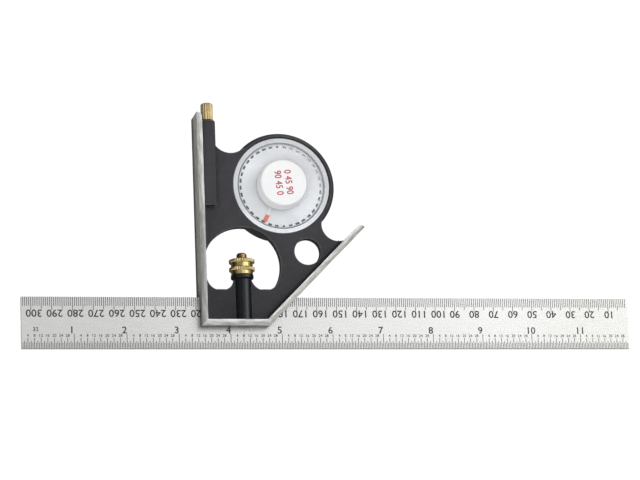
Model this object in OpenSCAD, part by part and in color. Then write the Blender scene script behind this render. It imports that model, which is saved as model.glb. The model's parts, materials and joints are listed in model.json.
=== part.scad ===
// Combination square with a gravity angle finder. A cast head slides on a grooved
// steel rule and is locked by a hook stud and a knurled nut. The head stores a scriber
// and carries a dial whose weighted pointer always hangs down.
// It is drawn lying on its back: X runs along the rule, Y up the square face and
// Z out of the dial. Inside the modules the origin is the outer corner of the head.

/* [Rule] */
// Length of the rule
rule_len = 304.8; // [200:0.1:610]
// Width of the rule
rule_w = 25.4; // [22:0.1:32]
// Thickness of the rule
rule_t = 1.6; // [1.2:0.1:2.4]
// Width of the groove along the back of the rule
groove_w = 2.4; // [2:0.1:4]
// Depth of that groove
groove_depth = 0.5; // [0.3:0.05:0.7]
// Gap between the rule and each side of its slot
slot_gap = 0.08; // [0.03:0.01:0.2]

/* [Head] */
// Distance from the zero end of the rule to the square face
head_x = 86.7; // [5:0.1:120]
// Distance from the centre line of the rule down to the base face
head_drop = 2.15; // [1.6:0.05:4]
// Depth of the flanges, front to back
head_depth = 15; // [14:0.1:20]
// Thickness of the three flanges
flange_t = 2.8; // [2:0.1:3.4]
// Height of the square flange above the base face
square_h = 106.5; // [104:0.05:120]
// Length of the base face from the square face to the mitre corner
base_w = 33.35; // [33:0.05:36]
// Length of the 45 degree face
mitre_len = 69.6; // [66:0.1:80]
// Radius of the inner corner at the free end of a flange
flange_end_r = 2.3; // [0.5:0.1:2.7]
// Chamfer along the outer edges of the flanges
edge_break = 0.8; // [0.2:0.1:1.2]
// Thickness of the web between the flanges
web_t = 4.4; // [4:0.1:5.6]
// Radius of the fillet where the web meets a flange
fillet_r = 2; // [0.5:0.1:2.4]

/* [Openings in the web] */
// Radius of the finger opening
opening_r = 19.2; // [18.5:0.05:19.4]
// Height of its centre above the base face
opening_y = 30.6; // [29.5:0.05:31]
// Radius of the two lobes beside the clamp post
lobe_r = 7; // [6:0.1:7.5]
// Height of a lobe's floor above the base face
lobe_floor = 18.65; // [17.5:0.05:19]
// Length of the flat at the bottom of a lobe
lobe_flat = 5.2; // [3:0.1:6]
// Radius of the small round hole
hole_r = 6.6; // [4:0.1:7]
// Distance of the small hole from the square face
hole_x = 54.4; // [53.5:0.1:55]
// Height of the small hole above the base face
hole_y = 37.7; // [36.5:0.1:38]
// Radius of the notch between the scriber barrel and the dial ring
notch_l_r = 9.3; // [9.2:0.05:9.6]
// Distance of that notch's centre from the square face
notch_l_x = 17.45; // [17:0.05:18]
// Distance from the top of the square flange down to that notch's centre
notch_l_drop = 9.9; // [9.75:0.05:10.05]
// Radius of the notch between the dial ring and the mitre flange
notch_r_r = 8.35; // [8.2:0.05:8.6]
// Distance of that notch's centre from the square face
notch_r_x = 70.3; // [69.5:0.1:70.8]
// Height of that notch's centre above the base face
notch_r_y = 51.55; // [51.2:0.05:51.8]

/* [Clamp] */
// Distance of the clamp axis from the square face
clamp_x = 21.6; // [20.5:0.1:22]
// Radius of the cast post that the stud rises through
post_r = 4.5; // [4.3:0.1:4.8]
// Length of the post above the slot
post_len = 8.6; // [7.5:0.1:10]
// Radius of the stud's threaded shank
stud_r = 2.5; // [2:0.05:2.6]
// Radius of the stud's hook end
hook_r = 3.5; // [3.3:0.05:3.6]
// Length of the stud that stands out of the nut
stud_out = 3.3; // [1:0.1:5]
// Thickness of the stud's shoulder under the spring
shoulder_t = 1.2; // [0.8:0.1:2]
// Height of the lip that catches the groove
lip_h = 1.5; // [0.8:0.1:1.6]
// Distance of the hook's end above the base face
hook_rise = 0.6; // [0.3:0.05:1]
// Travel of the stud between locked and free
clamp_travel = 0.4; // [0.2:0.05:0.5]
// Running gap round the stud
stud_gap = 0.06; // [0.02:0.01:0.1]
// Radius of the black collar on the post
collar_r = 5.6; // [5:0.1:6]
// Height of the collar
collar_h = 2.4; // [2:0.1:4]
// Depth that the collar's spigot reaches into the post
spigot_len = 1.7; // [1:0.1:2.5]
// Radius over the knurled rings of the nut
nut_r = 6.3; // [5.8:0.1:6.6]
// Radius of the nut between and below its rings
nut_waist_r = 5.4; // [4.6:0.1:5.4]
// Height of each knurled ring
nut_ring_h = 1.8; // [1.5:0.1:3]
// Height of the waist between the rings
nut_waist_h = 2.2; // [1:0.1:3]
// Height of the plain foot under the lower ring
nut_foot_h = 2; // [1:0.1:3]
// Number of teeth on the nut
nut_teeth = 44; // [16:1:56]
// Depth of a tooth gap on the nut
nut_tooth = 0.25; // [0.2:0.05:0.4]
// Diameter of the spring wire
wire_d = 0.5; // [0.3:0.05:0.6]
// Turns of the clamp spring
spring_turns = 4; // [2:1:6]

/* [Scriber] */
// Width of the barrel beside the square flange
barrel_w = 7; // [6.4:0.1:7.4]
// Length of the barrel
barrel_len = 42.9; // [30:0.1:50]
// Distance from the top of the square flange down to the barrel
barrel_step = 3.5; // [2:0.1:6]
// Height of the barrel's front above the middle plane
barrel_front = 5; // [4.4:0.1:6]
// Radius of the barrel's outer corners
barrel_edge = 1.2; // [0.4:0.1:1.8]
// Radius of the scriber needle
needle_r = 1.2; // [0.8:0.05:1.4]
// Length of the needle below its knob
needle_len = 40; // [20:0.1:41]
// Length of the needle's point
point_len = 7; // [3:0.1:12]
// Radius of the scriber knob
knob_r = 3.05; // [2.5:0.05:3.2]
// Height of the knob
knob_h = 8.9; // [6:0.1:14]
// Chamfer round the top of the knob
knob_chamfer = 0.7; // [0.2:0.1:1.2]
// Number of teeth on the knob
knob_teeth = 16; // [10:1:24]
// Depth of a tooth gap on the knob
knob_tooth = 0.28; // [0.1:0.02:0.4]
// Radius of the friction sleeve
sleeve_r = 2.1; // [1.8:0.05:2.3]
// Length of the friction sleeve
sleeve_len = 8; // [4:0.1:12]
// Radius of the sleeve's lip
sleeve_lip_r = 2.6; // [2.4:0.05:2.8]
// Thickness of the sleeve's lip
sleeve_lip_t = 0.4; // [0.2:0.05:1]

/* [Dial ring and case] */
// Distance of the dial's centre from the square face
dial_x = 42.4; // [42:0.05:42.7]
// Height of the dial's centre above the base face
dial_y = 71; // [70.5:0.05:71.4]
// Radius of the bore that the dial case sits in
dial_r = 24.1; // [23.5:0.05:24.4]
// Wall of the cast ring round the dial
ring_wall = 2.8; // [2.2:0.05:2.9]
// Bevel round the front and back of the ring
ring_bevel = 1.4; // [0.4:0.1:1.8]
// Distance that the ring stays short of the back of the flanges
ring_back_gap = 0.5; // [0.1:0.1:2]
// Thickness of the lip that stops the case at the back
lip_t = 0.4; // [0.3:0.1:1]
// Width of that lip
lip_w = 1.1; // [0.5:0.1:2]
// Gap round a pressed-in part
press_gap = 0.02; // [0.01:0.01:0.05]
// Thickness of the case floor
floor_t = 1.6; // [1:0.1:2.4]
// Width of the bezel ring
bezel_w = 2.2; // [1.5:0.1:3]
// Height of the bezel ring
bezel_h = 1.5; // [1.2:0.1:2.5]
// Width of the ledge under the edge of the lens
lens_ledge = 0.8; // [0.4:0.1:1.5]
// Width of the ledge under the edge of the card
card_ledge = 1.3; // [0.5:0.1:2.5]
// Thickness of the dial card
card_t = 0.5; // [0.3:0.1:1]
// Depth of the card below the front of the ring
card_depth = 2.2; // [2:0.1:2.8]
// Space between the card and the lens
view_gap = 1; // [1:0.1:1.6]
// Thickness of the lens
lens_t = 1.1; // [0.8:0.1:1.6]

/* [Hub and pointer] */
// Radius of the hub cap at its foot
hub_r = 12.4; // [11.5:0.1:13]
// Draft of the hub cap's side
hub_draft = 0.85; // [0:0.05:1]
// Height of the hub cap above the lens
hub_h = 6.6; // [5:0.1:8]
// Wall of the hub cap
hub_wall = 1.3; // [0.8:0.1:2]
// Chamfer round the top of the hub cap
hub_edge = 0.4; // [0.2:0.1:0.7]
// Radius of the pivot pin
pin_r = 0.75; // [0.5:0.05:1]
// Running gap round the pivot pin
pin_gap = 0.06; // [0.03:0.01:0.1]
// Radius of the pointer's bush
bush_r = 1.9; // [1.6:0.05:2.1]
// Thickness of a thrust washer
washer_t = 0.25; // [0.15:0.05:0.4]
// Radius of a thrust washer
washer_r = 2; // [1.7:0.1:2.2]
// Length of the bearing boss under the top of the hub cap
bearing_len = 1.1; // [0.8:0.1:1.6]
// Direction that the pointer hangs in, counted from +X
pointer_dir = 244; // [0:1:359]
// Radius of the pointer's red tip
tip_r = 20.5; // [17:0.1:20.6]
// Length of the red tip
tip_len = 4.2; // [2:0.1:6]
// Width of the red tip
tip_w = 2; // [1:0.1:3]
// Width of the pointer arm
arm_w = 1.2; // [0.6:0.1:2]
// Thickness of the pointer arm
arm_t = 0.3; // [0.2:0.05:0.4]
// Radius of the balance weight
weight_r = 9.2; // [6:0.1:9.6]
// Thickness of the balance weight
weight_t = 2.4; // [1:0.1:2.6]

/* [Hidden] */
$fn = 96;
eps = 0.01;                                    // overlap that keeps cuts clean
rule_y = head_drop;                            // centre line of the rule
slot_half = rule_t / 2 + slot_gap;
slot_top = rule_y + rule_w / 2;
half_d = head_depth / 2;
web_f = web_t / 2;                             // front of the web and of the dial ring
mitre_shift = flange_t * sqrt(2);              // inner mitre line, measured along X
web_top = notch_r_y - notch_r_r;               // where the web ends on the mitre flange
mitre_web_x = base_w - mitre_shift + web_top;
lobe_y = lobe_floor + sqrt(pow(lobe_r, 2) - pow(lobe_flat / 2, 2));
lobe_gap = opening_r - lobe_r;                 // lobe centres touch the opening from inside
lobe_dx = sqrt(pow(lobe_gap, 2) - pow(opening_y - lobe_y, 2));
open_reach = 2 * opening_r;

chamber_r = hook_r + 0.1;                      // drilled from below for hook and spring
post_top = slot_top + post_len;
spigot_foot = post_top - spigot_len;
collar_top = post_top + collar_h;
collar_flare = 0.8;
nut_h = nut_foot_h + 2 * nut_ring_h + nut_waist_h;
nut_top = collar_top + nut_h;
nut_chamfer = 0.3;
stud_top = nut_top + stud_out;
stud_dome = 0.7;
shoulder_foot = slot_top + clamp_travel + 0.06;
shoulder_top = shoulder_foot + shoulder_t;
hook_flat = slot_half + 0.06;                  // flat of the hook behind the rule
lip_top = rule_y + groove_w / 2;
lip_half = 0.65 * hook_r;
lip_reach = rule_t / 2 - groove_depth + 0.06;
spring_r = (stud_r + chamber_r) / 2;
spring_low = shoulder_top + wire_d / 2 + 0.02;
spring_high = spigot_foot - wire_d / 2 - 0.02;
spring_sides = 8;
spring_steps = 24;                             // rings in one turn

barrel_x = flange_t + barrel_w;
barrel_top = square_h - barrel_step;
notch_l_y = square_h - notch_l_drop;
scriber_x = flange_t + barrel_w / 2;
scriber_z = (barrel_front - web_f) / 2;
needle_gap = 0.06;
sleeve_top = barrel_top + sleeve_lip_t;
knob_foot = sleeve_top + 0.05;
knob_top = knob_foot + knob_h;
grip_len = knob_h / 2;                         // needle held in the knob

ring_r = dial_r + ring_wall;
ring_back = -half_d + ring_back_gap;
case_r = dial_r - press_gap;
case_back = ring_back + lip_t;
floor_top = case_back + floor_t;
bezel_in = dial_r - bezel_w;
seat_r = bezel_in - lens_ledge;                // bore of the case above the card
card_top = web_f - card_depth;
card_back = card_top - card_t;
card_r = seat_r - 0.05;
well_r = seat_r - card_ledge;
lens_back = card_top + view_gap;
lens_front = lens_back + lens_t;
lens_r = bezel_in - 0.05;
hub_cave_r = hub_r - hub_wall;
lens_hole_r = hub_cave_r - 0.3;
hub_front = lens_front + hub_h;
hub_roof = hub_front - hub_wall;
bearing_foot = hub_roof - bearing_len;
boss_r = washer_r + 0.3;                       // centre boss that locates the card
boss_foot_r = boss_r + 1.4;
boss_top = card_top + 0.1;
pin_foot = floor_top - floor_t / 2;
pin_top = hub_roof;
rear_washer_z = boss_top + 0.02;
bush_foot = rear_washer_z + washer_t + 0.03;
bush_top = bearing_foot - washer_t - 0.06;
front_washer_z = bearing_foot - washer_t - 0.02;
arm_foot = bush_foot + 0.02;
arm_eye = bush_r + 0.9;
weight_foot = lens_front - 0.6;
weight_back = 1.2;                             // rim of the weight behind the bush

model_high = max(knob_top, square_h) - rule_y;
model_low = -rule_w / 2;

// From the outer corner of the head to the frame of the whole tool, which stands on
// the back edges of the flanges under the middle of its outline.
module in_frame() {
    translate([
        head_x - rule_len / 2,
        -rule_y - (model_high + model_low) / 2,
        half_d
    ]) children();
}

// Turns a piece drawn along Z so that it stands up Y at the given place.
module along_y(x, y, z) {
    translate([x, y, z]) rotate([-90, 0, 0]) children();
}

module at_dial(z) {
    translate([dial_x, dial_y, z]) children();
}

module tube(r_out, r_in, h) {
    difference() {
        cylinder(r = r_out, h = h);
        translate([0, 0, -eps]) cylinder(r = r_in, h = h + 2 * eps);
    }
}

// V gaps of a straight knurl, cut into a cylinder of radius r.
module knurl_gaps(r, depth, teeth, h) {
    side = 3 * depth;
    for (i = [0 : teeth - 1])
        rotate([0, 0, i * 360 / teeth])
            translate([r - depth + side / sqrt(2), 0, h / 2])
                rotate([0, 0, 45]) cube([side, side, h + 2 * eps], center = true);
}

// A bar of flange_t by length, its far inner corner rounded. The outer face is Y = 0.
module flange_outline(length) {
    difference() {
        square([length, flange_t]);
        translate([length - flange_end_r, flange_t - flange_end_r]) difference() {
            square(flange_end_r + eps);
            circle(flange_end_r);
        }
    }
}

// Cutter that chamfers both long edges of a face that lies on Y = 0, along X.
module edge_cutter(length) {
    side = edge_break * sqrt(2);
    for (z = [-half_d, half_d])
        translate([-1, 0, z]) rotate([45, 0, 0])
            translate([0, -side / 2, -side / 2]) cube([length + 2, side, side]);
}

module flanges() {
    difference() {
        translate([0, 0, -half_d]) linear_extrude(head_depth) {
            square([base_w, flange_t]);
            mirror([1, -1]) flange_outline(square_h);
            translate([base_w, 0]) rotate(45) flange_outline(mitre_len);
        }
        edge_cutter(base_w);
        mirror([1, -1, 0]) edge_cutter(square_h);
        translate([base_w, 0, 0]) rotate([0, 0, 45]) edge_cutter(mitre_len);
    }
}

// Concave corner between the web and a flange, along X, for both sides of the web.
module fillet_bar(length) {
    for (side = [0, 1])
        mirror([0, 0, side])
            translate([0, 0, web_f]) rotate([90, 0, 90]) linear_extrude(length)
                difference() {
                    translate([-eps, -eps]) square(fillet_r + eps);
                    translate([fillet_r, fillet_r]) circle(fillet_r);
                }
}

module fillets() {
    translate([flange_t, flange_t, 0]) fillet_bar(base_w - 2 * flange_t);
    translate([flange_t, 0, 0]) rotate([0, 0, 90]) mirror([0, 1, 0])
        translate([flange_t, 0, 0]) fillet_bar(barrel_top - flange_t);
    translate([base_w, 0, 0]) rotate([0, 0, 45])
        translate([flange_t, flange_t, 0])
            fillet_bar((mitre_web_x - base_w + web_top) / sqrt(2) - flange_t);
}

module web_outline() {
    difference() {
        polygon([
            [eps, eps], [base_w, eps], [mitre_web_x + eps, web_top],
            [notch_r_x, web_top], [notch_r_x, notch_r_y], [dial_x, dial_y],
            [notch_l_x, notch_l_y], [eps, notch_l_y]
        ]);
        translate([notch_r_x, notch_r_y]) circle(notch_r_r);
        translate([notch_l_x, notch_l_y]) circle(notch_l_r);
    }
}

// Finger opening: a circle whose lower part closes into two lobes beside the post.
// The web between the lobes stops level with the top of the post.
module opening_outline() {
    slope = (opening_y - lobe_y) / lobe_gap;
    run = lobe_dx / lobe_gap;
    translate([clamp_x, 0]) {
        intersection() {
            translate([0, opening_y]) circle(opening_r);
            polygon([
                [-lobe_dx, lobe_y],
                [-lobe_dx - open_reach * run, lobe_y - open_reach * slope],
                [-open_reach, opening_y + open_reach],
                [open_reach, opening_y + open_reach],
                [lobe_dx + open_reach * run, lobe_y - open_reach * slope],
                [lobe_dx, lobe_y]
            ]);
        }
        for (side = [-1, 1]) translate([side * lobe_dx, 0]) intersection() {
            translate([0, lobe_y]) circle(lobe_r);
            translate([-lobe_r, lobe_floor]) square(2 * lobe_r);
        }
        translate([-lobe_dx, post_top]) square([2 * lobe_dx, lobe_y - post_top + eps]);
    }
}

module web() {
    difference() {
        union() {
            translate([0, 0, -web_f]) linear_extrude(web_t) web_outline();
            fillets();
        }
        translate([0, 0, -half_d]) linear_extrude(head_depth) opening_outline();
    }
}

module dial_ring() {
    at_dial(0) rotate_extrude() polygon([
        [0, ring_back], [ring_r - ring_bevel / 2, ring_back],
        [ring_r, ring_back + ring_bevel / 2], [ring_r, web_f - ring_bevel],
        [ring_r - ring_bevel, web_f], [0, web_f]
    ]);
}

module scriber_barrel() {
    low = barrel_top - barrel_len;
    intersection() {
        translate([eps, low, -web_f]) linear_extrude(web_f + barrel_front)
            rounded_right(barrel_x - eps, barrel_len, barrel_edge);
        translate([eps, low, -web_f]) rotate([-90, 0, 0])
            mirror([0, 1, 0]) linear_extrude(barrel_len)
                front_rounded(barrel_x - eps, web_f + barrel_front, barrel_edge);
    }
}

// Rectangle whose two corners at the right are round.
module rounded_right(w, h, r) {
    translate([0, r]) square([w, h - 2 * r]);
    square([w - r, h]);
    for (y = [r, h - r]) translate([w - r, y]) circle(r);
}

// Rectangle whose far upper corner is round.
module front_rounded(w, h, r) {
    square([w, h - r]);
    square([w - r, h]);
    translate([w - r, h - r]) circle(r);
}

module head_casting() {
    color("#45444a") in_frame() difference() {
        union() {
            flanges();
            web();
            dial_ring();
            scriber_barrel();
            along_y(clamp_x, eps, 0) cylinder(r = post_r, h = post_top - eps);
        }
        at_dial(case_back) cylinder(r = dial_r, h = head_depth);
        at_dial(-half_d) cylinder(r = dial_r - lip_w, h = head_depth);
        translate([hole_x, hole_y, -half_d]) cylinder(r = hole_r, h = head_depth);
        translate([-eps, -eps, -slot_half])
            cube([base_w + slot_top + flange_t, slot_top + eps, 2 * slot_half]);
        along_y(clamp_x, -eps, 0) cylinder(r = chamber_r, h = post_top + 2 * eps);
        along_y(scriber_x, knob_foot - needle_len - 1, scriber_z)
            cylinder(r = needle_r + 2 * needle_gap, h = needle_len);
        along_y(scriber_x, barrel_top - sleeve_len, scriber_z)
            cylinder(r = sleeve_r + press_gap, h = sleeve_len + eps);
    }
}

module rule() {
    color("#d6d6d2") in_frame() difference() {
        translate([-head_x, rule_y - rule_w / 2, -rule_t / 2])
            cube([rule_len, rule_w, rule_t]);
        translate([-head_x - 1, rule_y - groove_w / 2, -rule_t / 2 - 1])
            cube([rule_len + 2, groove_w, groove_depth + 1]);
    }
}

// Hook stud: the shank goes up through nut and collar. Below the shoulder it is cut
// away to a half round behind the rule, with a lip that catches the groove.
module clamp_stud() {
    color("#caa85a") in_frame() {
        along_y(clamp_x, shoulder_foot, 0) cylinder(r = hook_r, h = shoulder_t);
        along_y(clamp_x, shoulder_top - eps, 0) rotate_extrude() polygon([
            [0, 0], [stud_r, 0], [stud_r, stud_top - shoulder_top - stud_dome],
            [stud_r - stud_dome, stud_top - shoulder_top], [0, stud_top - shoulder_top]
        ]);
        intersection() {
            along_y(clamp_x, hook_rise, 0)
                cylinder(r = hook_r, h = shoulder_foot - hook_rise + eps);
            translate([clamp_x - 2 * hook_r, 0, -2 * hook_r])
                cube([4 * hook_r, shoulder_top, 2 * hook_r - hook_flat]);
        }
        translate([clamp_x - lip_half, lip_top - lip_h, -hook_flat - 0.5])
            cube([2 * lip_half, lip_h, hook_flat + 0.5 - lip_reach]);
    }
}

function spring_point(i, a) =
    let (
        turn = 360 * i / spring_steps,
        rise = (spring_high - spring_low) * i / (spring_turns * spring_steps),
        r = spring_r + wire_d / 2 * cos(a)
    ) [r * cos(turn), r * sin(turn), rise + wire_d / 2 * sin(a)];

module clamp_spring() {
    last = spring_turns * spring_steps;
    points = [
        for (i = [0 : last]) for (s = [0 : spring_sides - 1])
            spring_point(i, 360 * s / spring_sides)
    ];
    walls = [
        for (i = [0 : last - 1]) for (s = [0 : spring_sides - 1])
            let (n = (s + 1) % spring_sides, a = i * spring_sides, b = a + spring_sides)
                each [[a + s, b + s, b + n], [a + s, b + n, a + n]]
    ];
    start = [[for (s = [0 : spring_sides - 1]) s]];
    end = [[for (s = [spring_sides - 1 : -1 : 0]) last * spring_sides + s]];
    color("#8d8f92") in_frame() along_y(clamp_x, spring_low, 0)
        polyhedron(points, concat(start, walls, end), convexity = 10);
}

module clamp_collar() {
    color("#242428") in_frame() along_y(clamp_x, post_top, 0) difference() {
        rotate_extrude() polygon([
            [0, -spigot_len], [chamber_r - press_gap, -spigot_len],
            [chamber_r - press_gap, 0], [post_r, 0], [collar_r, collar_flare],
            [collar_r, collar_h - 0.2], [collar_r - 0.2, collar_h], [0, collar_h]
        ]);
        translate([0, 0, -spigot_len - eps])
            cylinder(r = stud_r + stud_gap, h = spigot_len + collar_h + 2 * eps);
    }
}

module clamp_nut() {
    ring_a = nut_foot_h;
    waist = ring_a + nut_ring_h;
    ring_b = waist + nut_waist_h;
    color("#d0aa55") in_frame() along_y(clamp_x, collar_top, 0) difference() {
        rotate_extrude() polygon([
            [0, 0], [nut_waist_r, 0], [nut_waist_r, ring_a],
            [nut_r - nut_chamfer, ring_a], [nut_r, ring_a + nut_chamfer],
            [nut_r, waist - nut_chamfer], [nut_r - nut_chamfer, waist],
            [nut_waist_r, waist], [nut_waist_r, ring_b],
            [nut_r - nut_chamfer, ring_b], [nut_r, ring_b + nut_chamfer],
            [nut_r, nut_h - nut_chamfer], [nut_r - nut_chamfer, nut_h], [0, nut_h]
        ]);
        translate([0, 0, -eps]) cylinder(r = stud_r + stud_gap, h = nut_h + 2 * eps);
        knurl_gaps(nut_r, nut_tooth, nut_teeth, nut_h);
    }
}

module scriber_needle() {
    color("#b9babb") in_frame() along_y(scriber_x, knob_foot - needle_len, scriber_z)
        rotate_extrude() polygon([
            [0, 0], [needle_r, point_len],
            [needle_r, needle_len + grip_len], [0, needle_len + grip_len]
        ]);
}

module scriber_knob() {
    color("#d0aa55") in_frame() along_y(scriber_x, knob_foot, scriber_z) difference() {
        rotate_extrude() polygon([
            [0, 0], [knob_r, 0], [knob_r, knob_h - knob_chamfer],
            [knob_r - knob_chamfer, knob_h], [0, knob_h]
        ]);
        translate([0, 0, -eps])
            cylinder(r = needle_r + press_gap, h = grip_len + 0.1 + eps);
        knurl_gaps(knob_r, knob_tooth, knob_teeth, knob_h);
    }
}

module scriber_sleeve() {
    color("#2b2b2e") in_frame()
        along_y(scriber_x, barrel_top - sleeve_len, scriber_z) difference() {
            union() {
                cylinder(r = sleeve_r, h = sleeve_len);
                translate([0, 0, sleeve_len])
                    cylinder(r = sleeve_lip_r, h = sleeve_lip_t);
            }
            translate([0, 0, -eps]) cylinder(
                r = needle_r + needle_gap, h = sleeve_len + sleeve_lip_t + 2 * eps
            );
        }
}

// Moulded cup: a ledge carries the card, the rim carries the lens and the bezel.
module dial_case() {
    color("#eceef0") in_frame() at_dial(0) difference() {
        rotate_extrude() polygon([
            [0, case_back], [case_r, case_back], [case_r, lens_back],
            [seat_r, lens_back], [seat_r, card_back], [well_r, card_back],
            [well_r, floor_top], [boss_foot_r, floor_top], [boss_foot_r, card_back],
            [boss_r, card_back], [boss_r, boss_top], [0, boss_top]
        ]);
        translate([0, 0, pin_foot]) cylinder(r = pin_r + press_gap, h = head_depth);
    }
}

module dial_card() {
    color("#f1f3f5") in_frame() at_dial(card_back) tube(card_r, boss_r + 0.05, card_t);
}

module bezel_ring() {
    edge = 0.3;
    color("#e8eaee") in_frame() at_dial(lens_back) rotate_extrude() polygon([
        [bezel_in, 0], [case_r, 0], [case_r, bezel_h - edge], [case_r - edge, bezel_h],
        [bezel_in + edge, bezel_h], [bezel_in, bezel_h - edge]
    ]);
}

module lens() {
    color("#dfe8ee") in_frame() at_dial(lens_back) tube(lens_r, lens_hole_r, lens_t);
}

module hub_cap() {
    color("#fafafa") in_frame() at_dial(lens_front) difference() {
        rotate_extrude() polygon([
            [0, 0], [hub_r, 0], [hub_r - hub_draft, hub_h - hub_edge],
            [hub_r - hub_draft - hub_edge, hub_h], [0, hub_h]
        ]);
        translate([0, 0, -eps]) difference() {
            cylinder(r = hub_cave_r, h = hub_roof - lens_front + eps);
            translate([0, 0, bearing_foot - lens_front + eps])
                cylinder(r = washer_r + 0.3, h = hub_h);
        }
        cylinder(r = pin_r + press_gap, h = pin_top - lens_front + 0.05);
    }
}

module pivot_pin() {
    color("#a9abad") in_frame() at_dial(pin_foot)
        cylinder(r = pin_r, h = pin_top - pin_foot);
}

module thrust_washer(z) {
    color("#c9a75c") in_frame() at_dial(z) tube(washer_r, pin_r + pin_gap, washer_t);
}

module rear_washer() {
    thrust_washer(rear_washer_z);
}

module front_washer() {
    thrust_washer(front_washer_z);
}

module pointer_bush() {
    color("#c9a75c") in_frame() at_dial(bush_foot)
        tube(bush_r, pin_r + pin_gap, bush_top - bush_foot);
}

module pointer_arm() {
    color("#f4f4f4") in_frame() at_dial(arm_foot) rotate([0, 0, pointer_dir])
        linear_extrude(arm_t) difference() {
            union() {
                circle(arm_eye);
                translate([0, -arm_w / 2]) square([tip_r - tip_len, arm_w]);
            }
            circle(bush_r + press_gap);
        }
}

module pointer_tip() {
    color("#d2584f") in_frame() at_dial(arm_foot) rotate([0, 0, pointer_dir])
        linear_extrude(arm_t) polygon([
            [tip_r - tip_len, -tip_w / 2], [tip_r - tip_w / 2, -tip_w / 2],
            [tip_r, 0], [tip_r - tip_w / 2, tip_w / 2], [tip_r - tip_len, tip_w / 2]
        ]);
}

// Half disc that hangs on the bush under the hub cap and keeps the tip down.
module balance_weight() {
    color("#b58f48") in_frame() at_dial(weight_foot) rotate([0, 0, pointer_dir])
        linear_extrude(weight_t) difference() {
            union() {
                intersection() {
                    circle(weight_r);
                    translate([0, -weight_r]) square([weight_r, 2 * weight_r]);
                }
                circle(bush_r + weight_back);
            }
            circle(bush_r + press_gap);
        }
}

head_casting();
rule();
clamp_stud();
clamp_spring();
clamp_collar();
clamp_nut();
scriber_needle();
scriber_knob();
scriber_sleeve();
dial_case();
dial_card();
bezel_ring();
lens();
hub_cap();
pivot_pin();
rear_washer();
front_washer();
pointer_bush();
pointer_arm();
pointer_tip();
balance_weight();
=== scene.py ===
import json
from math import asin, cos, pi, radians, sin, sqrt

import bmesh
import bpy
from mathutils import Matrix, Vector


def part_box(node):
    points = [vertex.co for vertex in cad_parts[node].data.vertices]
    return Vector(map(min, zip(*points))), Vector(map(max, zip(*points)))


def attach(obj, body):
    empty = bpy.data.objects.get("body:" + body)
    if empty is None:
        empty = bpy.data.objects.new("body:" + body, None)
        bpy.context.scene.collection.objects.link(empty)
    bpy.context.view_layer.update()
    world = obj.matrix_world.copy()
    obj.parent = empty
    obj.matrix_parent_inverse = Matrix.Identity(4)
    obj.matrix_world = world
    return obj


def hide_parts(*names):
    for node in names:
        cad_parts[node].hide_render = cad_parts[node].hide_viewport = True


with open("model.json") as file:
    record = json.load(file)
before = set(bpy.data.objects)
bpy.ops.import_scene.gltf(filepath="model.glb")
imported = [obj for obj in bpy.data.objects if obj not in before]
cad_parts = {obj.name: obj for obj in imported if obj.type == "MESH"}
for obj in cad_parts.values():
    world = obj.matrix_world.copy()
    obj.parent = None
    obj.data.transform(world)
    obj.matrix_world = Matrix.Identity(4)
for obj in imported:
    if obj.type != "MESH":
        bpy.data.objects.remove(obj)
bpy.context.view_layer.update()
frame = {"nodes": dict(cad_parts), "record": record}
mm = 0.001
bodyOf = {
    node: body
    for body, nodes in frame["record"]["behaviour"]["bodies"].items()
    for node in nodes
}
print("frame loaded:", len(bodyOf), "nodes")


# Small helpers

def midPoint(node):
    low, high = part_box(node)
    return (low + high) / 2


def addNode(tree, kind, inputs=None, **settings):
    node = tree.nodes.new(kind)
    for name, value in settings.items():
        setattr(node, name, value)
    for name, value in (inputs or {}).items():
        if isinstance(value, bpy.types.NodeSocket):
            tree.links.new(value, node.inputs[name])
        else:
            node.inputs[name].default_value = value
    return node


def maths(tree, operation, *values):
    return addNode(tree, "ShaderNodeMath", dict(enumerate(values)), operation=operation).outputs[0]


def vectors(tree, operation, *values):
    return addNode(tree, "ShaderNodeVectorMath", dict(enumerate(values)), operation=operation)


def ramp(tree, value, start, end, low=0.0, high=1.0, kind="LINEAR"):
    return addNode(tree, "ShaderNodeMapRange", {
        "Value": value, "From Min": start, "From Max": end, "To Min": low, "To Max": high,
    }, interpolation_type=kind).outputs["Result"]


def blend(tree, factor, first, second, **settings):
    return addNode(tree, "ShaderNodeMix", {
        "Factor": factor, "A": first, "B": second,
    }, **settings).outputs["Result"]


def newGroup(name, kind, inputs, output, outputKind="Float"):
    group = bpy.data.node_groups.new(name, kind)
    for label, valueKind, value in inputs:
        socket = group.interface.new_socket(
            label, in_out="INPUT", socket_type="NodeSocket" + valueKind
        )
        if value is not None:
            socket.default_value = value
    group.interface.new_socket(output, in_out="OUTPUT", socket_type="NodeSocket" + outputKind)
    return group, group.nodes.new("NodeGroupInput").outputs


def closed(group, value):
    # The group, with this value as its output
    addNode(group, "NodeGroupOutput", {0: value})
    return group


def newObject(name, mesh):
    piece = bpy.data.objects.new(name, mesh)
    bpy.context.scene.collection.objects.link(piece)
    return piece


def plainMesh(piece, meshName):
    # Runs the piece's modifiers once and keeps only the resulting mesh
    bpy.context.view_layer.update()
    shaped = piece.evaluated_get(bpy.context.evaluated_depsgraph_get())
    mesh = bpy.data.meshes.new_from_object(shaped)
    mesh.name = meshName
    return mesh


# Camera at the photograph's viewing angle
cameraView = {
    "place": (-0.27819, -0.284435, 1.19991),
    "turn": (13.3058, -12.3982, -2.3657),
    "lens": 142.986, "sensor": 36, "near": 0.05,
}
cameraData = bpy.data.cameras.new("camera")
cameraData.lens = cameraView["lens"]
cameraData.sensor_width = cameraView["sensor"]
cameraData.clip_start = cameraView["near"]
camera = newObject("camera", cameraData)
camera.location = cameraView["place"]
camera.rotation_euler = [radians(angle) for angle in cameraView["turn"]]
bpy.context.scene.camera = camera
print("camera set")


# Shader groups that several finishes share

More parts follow.
